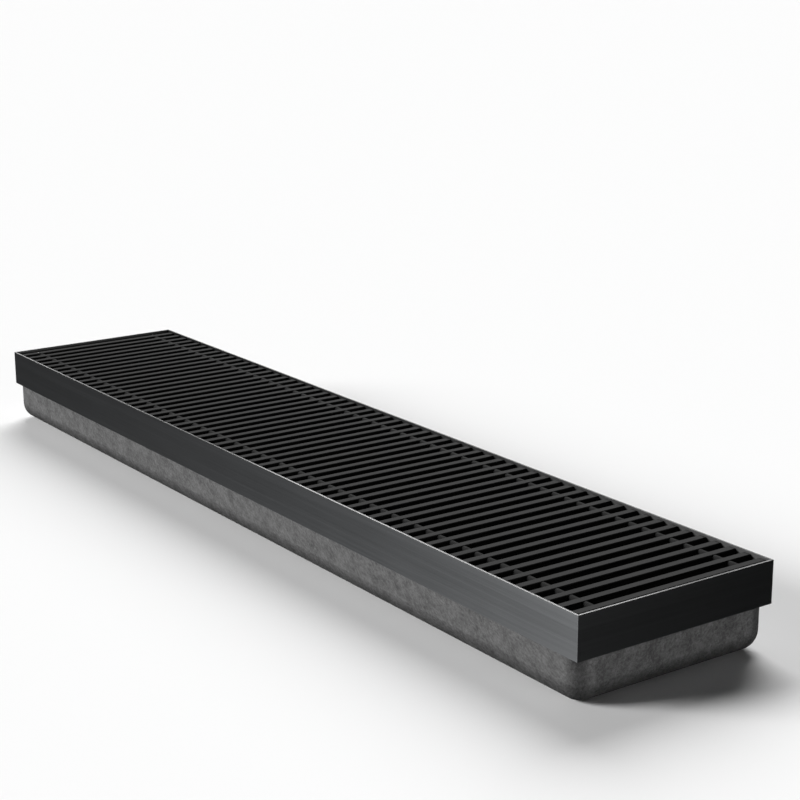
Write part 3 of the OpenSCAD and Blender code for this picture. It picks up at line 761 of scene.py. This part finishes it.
def nut(corner, bore, height):
    """A chamfered hexagon nut from 0 to height."""
    flat = corner * polygon(6, math.pi / 6)
    cut = (corner - flat) * CORNER_SHARE

    def hexagon(angle, level, radius):
        return polygon(6, angle) if radius > (flat + corner) / 2 else 1.0

    section = [(bore, BORE_CUT), (bore + BORE_CUT, 0), (flat, 0), (corner, cut),
               (corner, height - cut), (flat, height), (bore + BORE_CUT, height),
               (bore, height - BORE_CUT), (bore, BORE_CUT)]
    return turned(section, 36, hexagon)


nut_place = [upright(box) for box in solids("earth_nut")]
hand_over("chamfered_nut", copies(nut(5.8, 3.0, 5.0), nut_place),
          "case", turned_brass, ["earth_nut"])

# %% [markdown]
# ## Union nuts
#
# A big nut clamps each copper tube to its valve. Its hexagon stands with two corners up and
# down, so the shape is turned from Z to X with its corners on the vertical.

# %% Union nuts on the tubes
for name, way in (("flow_union_nut", flow_y), ("return_union_nut", return_y)):
    low, high = solids(name)[0]
    union_place = [facing((1, 0, 0), (low.x, way, coil_z))]
    hand_over("chamfered_" + name, copies(nut(15.6, 7.6, (high.x - low.x) / MM), union_place),
              "case", nickel_cast, [name])

# %% [markdown]
# ## Hand cap of the flow valve
#
# The cap is a hollow moulding with a fluted grip, a plain ring with a pointer nib at its
# foot, and a shallow dish in its face. Its section is spun first. The flutes are then a wave
# of the radius that only touches the rings of the grip.

# %% Fluted hand cap
FLUTES, FLUTE_DEPTH = 24, 0.035
GRIP_FOOT, GRIP_TOP, GRIP_CORE = 10.5, 25.5, 15.5
RING_FOOT, RING_TOP, RING_CORE = 0.5, 8.2, 15.8
NIB_REACH, NIB_FACTOR = 0.07, 1.03


def fluted(angle, height, radius):
    if GRIP_FOOT < height < GRIP_TOP and radius > GRIP_CORE:
        return 1 - FLUTE_DEPTH * (0.5 + 0.5 * math.cos(FLUTES * angle)) ** 2
    on_ring = RING_FOOT < height < RING_TOP and radius > RING_CORE
    at_nib = abs(angle - math.pi / 2) < NIB_REACH
    return NIB_FACTOR if on_ring and at_nib else 1.0


cap_section = [(0, 10.9), (5.8, 10.9), (5.8, 7.9), (15.0, 7.9), (15.0, 0), (16.0, 0), (16.4, 0.6),
               (16.4, 7.8), (15.7, 8.4), (15.7, 9.2), (16.6, 9.6), (17.0, 10.6), (17.0, 15),
               (17.0, 20), (16.9, 25), (16.4, 26.6), (15.4, 27.6), (14.0, 28.0), (13.2, 28.0),
               (12.6, 27.6), (6, 27.1), (0, 27.0)]
cap_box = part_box("flow_hand_cap")
cap_place = [facing((0, -1, 0), (middle(cap_box).x, cap_box[1].y, middle(cap_box).z))]
hand_over("fluted_hand_cap", copies(turned(cap_section, 144, fluted), cap_place),
          "hand_cap", white_plastic, ["flow_hand_cap"])

# %% [markdown]
# ## Cover cap of the return valve
#
# The return valve is set once with a key and then covered. Its cap is pulled off by hand, so
# it has a knurl: many small ribs, each a few points wide.

# %% Knurled cover cap
RIBS, RIB_DEPTH = 36, 0.02
KNURL_FOOT, KNURL_TOP, KNURL_CORE = 0.8, 6.3, 9.2


def knurled(angle, height, radius):
    on_knurl = KNURL_FOOT < height < KNURL_TOP and radius > KNURL_CORE
    between_ribs = math.cos(RIBS * angle) > 0
    return 1 - RIB_DEPTH if on_knurl and between_ribs else 1.0


cover_section = [(0, 5.7), (8.1, 5.7), (8.1, 0), (9.2, 0), (9.5, 0.4), (9.6, 0.9), (9.6, 6.1),
                 (9.2, 6.8), (8.6, 7.2), (7.6, 7.2), (7.2, 6.9), (0, 6.8)]
cover_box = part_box("return_cap")
cover_place = [Matrix.Translation((middle(cover_box).x, return_y, cover_box[0].z))]
hand_over("knurled_cover_cap", copies(turned(cover_section, 144, knurled), cover_place),
          "lock_cap", white_plastic, ["return_cap"])

# %% [markdown]
# ## Threads in the valves' mouths
#
# The house's pipes screw into the valves through the entries in the pan's left end. The bores
# get ridges at the pitch of such pipe threads.

# %% Pipe threads
PIPE_PITCH = 1.814
mouth_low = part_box("flow_valve_body")[0]
mouth_section = ([(9.6, 0.8)] + thread(9.45, 0.75, PIPE_PITCH, 0.8, 13.5) +
                 [(9.6, 13.5), (9.6, 0.8)])
mouth_places = [facing((1, 0, 0), (mouth_low.x, way, coil_z)) for way in (flow_y, return_y)]
hand_over("mouth_threads", copies(turned(mouth_section, 40), mouth_places),
          "case", nickel_cast)

# %% [markdown]
# ## Collars of the fins
#
# A fin grips its tube with a short collar that is drawn out of the hole. There are two
# hundred of them, so each is only a few faces: a five-point section and twelve steps.

# %% Fin collars
collar_section = [(7.4, 0), (8.5, 0), (8.0, 0.8), (8.0, 2.2), (7.4, 2.2)]
collar_places = [facing((1, 0, 0), (box[1].x, way, coil_z))
                 for box in fin_boxes for way in (flow_y, return_y)]
hand_over("fin_collars", copies(turned(collar_section, 12), collar_places),
          "case", fin_metal)

# %% [markdown]
# ## Brazed joints
#
# The return bend is pushed over the tubes' ends and brazed. The brazing metal creeps out and
# sets as a hollow fillet between the tube and the socket's edge.

# %% Brazing fillets
fillet_section = [(7.4, 0.2), (8.5, 0.2), (8.45, -0.1), (8.1, -0.5), (7.8, -1.1), (7.6, -1.9),
                  (7.4, -2.0), (7.4, 0.2)]
fillet_places = [facing((1, 0, 0), (bend_low.x, way, coil_z)) for way in (flow_y, return_y)]
hand_over("brazing_fillets", copies(turned(fillet_section, 40), fillet_places),
          "case", turned_brass)

# %% [markdown]
# ## Rubber rests
#
# The bars' ends lie on two rubber strips that keep the grille from rattling. A strip is an
# extrusion with ribs, so its section is drawn once as a face and pushed along the frame.

# %% Ribbed strips
STRIP_RIBS = 5
GROOVE_DEPTH = 0.5 * MM


def ribbed_strip(low, high):
    """A strip of that box, with ribs that run along X."""
    shape = bmesh.new()
    pitch = (high.y - low.y) / STRIP_RIBS
    groove = high.z - GROOVE_DEPTH
    outline = [(low.y, low.z), (low.y, groove)]
    for rib in range(STRIP_RIBS):
        start = low.y + rib * pitch
        outline += [(start + 0.2 * pitch, groove), (start + 0.35 * pitch, high.z),
                    (start + 0.65 * pitch, high.z), (start + 0.8 * pitch, groove)]
    outline += [(high.y, groove), (high.y, low.z)]
    section = shape.faces.new([shape.verts.new((low.x, y, z)) for y, z in outline])
    grown = bmesh.ops.extrude_face_region(shape, geom=[section])
    far = [item for item in grown["geom"] if isinstance(item, bmesh.types.BMVert)]
    bmesh.ops.translate(shape, verts=far, vec=(high.x - low.x, 0, 0))
    bmesh.ops.recalc_face_normals(shape, faces=shape.faces)
    return shape


for name in ("rest_strip_front", "rest_strip_back"):
    hand_over("ribbed_" + name, ribbed_strip(*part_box(name)), "case", rubber, [name])

# %% [markdown]
# ## The studio
#
# The picture has a white floor without a horizon, so one wide sheet is the floor and the white
# room begins where it ends.
#
# A photographer puts black cards round dark metal, or it would mirror the white room and look
# grey. Cards that only reflections can see stand on all four sides and lie on the floor
# between, so the frame keeps its tone from wherever it is seen.

# %% Floor and cards
def stage_sheet(name, corners, level):
    """A flat sheet of the studio, with a finish of that reflectance."""
    shape = bmesh.new()
    shape.faces.new([shape.verts.new(corner) for corner in corners])
    mesh = bpy.data.meshes.new(name)
    shape.to_mesh(mesh)
    shape.free()
    sheet = bpy.data.objects.new(name, mesh)
    scene.collection.objects.link(sheet)
    finish, material = new_finish(name)
    finish.surface(Base_Color=grey(level), Roughness=1.0, Specular_IOR_Level=0.0)
    paint(sheet, material)
    sheet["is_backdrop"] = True
    return sheet


FLOOR = 30.0
FLOOR_Z = -0.2 * MM
FLOOR_LEVEL = 0.87
stage_sheet("studio_floor", [(-FLOOR, -FLOOR, FLOOR_Z), (FLOOR, -FLOOR, FLOOR_Z),
                             (FLOOR, FLOOR, FLOOR_Z), (-FLOOR, FLOOR, FLOOR_Z)], FLOOR_LEVEL)

WIDE, DEEP, TALL = 4.0, 2.5, 3.0
CARD_Z = -0.1 * MM
card_corners = [(-WIDE, -DEEP), (WIDE, -DEEP), (WIDE, DEEP), (-WIDE, DEEP)]
cards = {"floor_card": [(x, y, CARD_Z) for x, y in card_corners]}
for side, name in enumerate(("front_card", "right_card", "back_card", "left_card")):
    (x, y), (next_x, next_y) = card_corners[side], card_corners[(side + 1) % 4]
    cards[name] = [(x, y, 0), (next_x, next_y, 0), (next_x, next_y, TALL), (x, y, TALL)]
for name, corners in cards.items():
    card = stage_sheet(name, corners, 0.0)
    card.visible_camera = False
    card.visible_diffuse = False
    card.visible_shadow = False
    card.visible_transmission = False
print("cards:", len(cards))

# %% [markdown]
# ## Lights and room
#
# A soft shadow lies along the front and a dark one past the right end. Two wide soft lights do
# this, one low at the front left and one at the back left. A narrow strip light a little
# farther to the left gives the brushed side its long highlight, and a weak light that almost
# lies on the floor lifts the right end out of the dark. Sun lamps with a wide angle are such
# lights at any distance, so the floor is evenly lit as far as it goes. Their strength is set
# so that the open floor comes out just white.
#
# The room above the cards stays white, and the rim's top mirrors it, but it lights the floor
# only weakly, so that the shadows stay dark.

# %% Lights and the room round them
def soft_light(name, heading, height, spread, strength):
    """A sun that stands at a heading, from +X towards +Y, and a height, in degrees."""
    lamp = bpy.data.lights.new(name, "SUN")
    lamp.energy = strength
    lamp.angle = math.radians(spread)
    item = bpy.data.objects.new(name, lamp)
    level = math.cos(math.radians(height))
    towards = Vector((level * math.cos(math.radians(heading)),
                      level * math.sin(math.radians(heading)), math.sin(math.radians(height))))
    item.matrix_world = towards.to_track_quat("Z", "Y").to_matrix().to_4x4()
    scene.collection.objects.link(item)


soft_light("front_light", heading=240, height=21, spread=22, strength=3.5)
soft_light("back_light", heading=140, height=34, spread=42, strength=3.6)
soft_light("strip_light", heading=228, height=20, spread=10, strength=0.4)
soft_light("fill_light", heading=14, height=2.5, spread=8, strength=0.85)

world = bpy.data.worlds.new("studio_room")
world.use_nodes = True
scene.world = world
room = Finish(world.node_tree, "Background")
ray = room.node("ShaderNodeLightPath")
shown = ray["Is Camera Ray"].at_least(ray["Is Glossy Ray"]).at_least(ray["Is Transmission Ray"])
ROOM_LIGHT = 0.03
room.surface(Color=grey(1.0), Strength=ROOM_LIGHT + (1 - ROOM_LIGHT) * shown)
scene.view_settings.view_transform = "Standard"
print("lights:", len(bpy.data.lights))

# %% [markdown]
# ## The camera
#
# Its place, direction and lens come from the corners of the frame in the photograph. They show
# a long lens, about one and a half metres away, that looks a little down along the heater.

# %% Place the camera
CAMERA_AT = Vector((1.28067, -0.81550, 0.51048))
HEADING, FALL, ROLL = 2.52883, 0.26359, -0.0031
SENSOR_WIDTH, FOCAL_LENGTH = 36.0, 81.27
ahead = Vector((math.cos(FALL) * math.cos(HEADING), math.cos(FALL) * math.sin(HEADING),
                -math.sin(FALL)))
level_right = ahead.cross(Vector((0, 0, 1))).normalized()
level_up = level_right.cross(ahead)
right = math.cos(ROLL) * level_right + math.sin(ROLL) * level_up
up = math.cos(ROLL) * level_up - math.sin(ROLL) * level_right

camera_data = bpy.data.cameras.new("camera")
camera_data.sensor_width = SENSOR_WIDTH
camera_data.lens = FOCAL_LENGTH
camera_data.clip_start = 0.05
camera_data.clip_end = 200
camera = bpy.data.objects.new("camera", camera_data)
camera_turn = Matrix((right, up, -ahead)).transposed().to_4x4()
camera.matrix_world = Matrix.Translation(CAMERA_AT) @ camera_turn
scene.collection.objects.link(camera)
scene.camera = camera
print("camera looks", round(math.degrees(FALL), 1), "degrees down")

# %% Write the sizes and finish
low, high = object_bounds()
print("grown by in mm:", [round(value / MM, 2) for value in (*(cad_low - low), *(high - cad_high))])
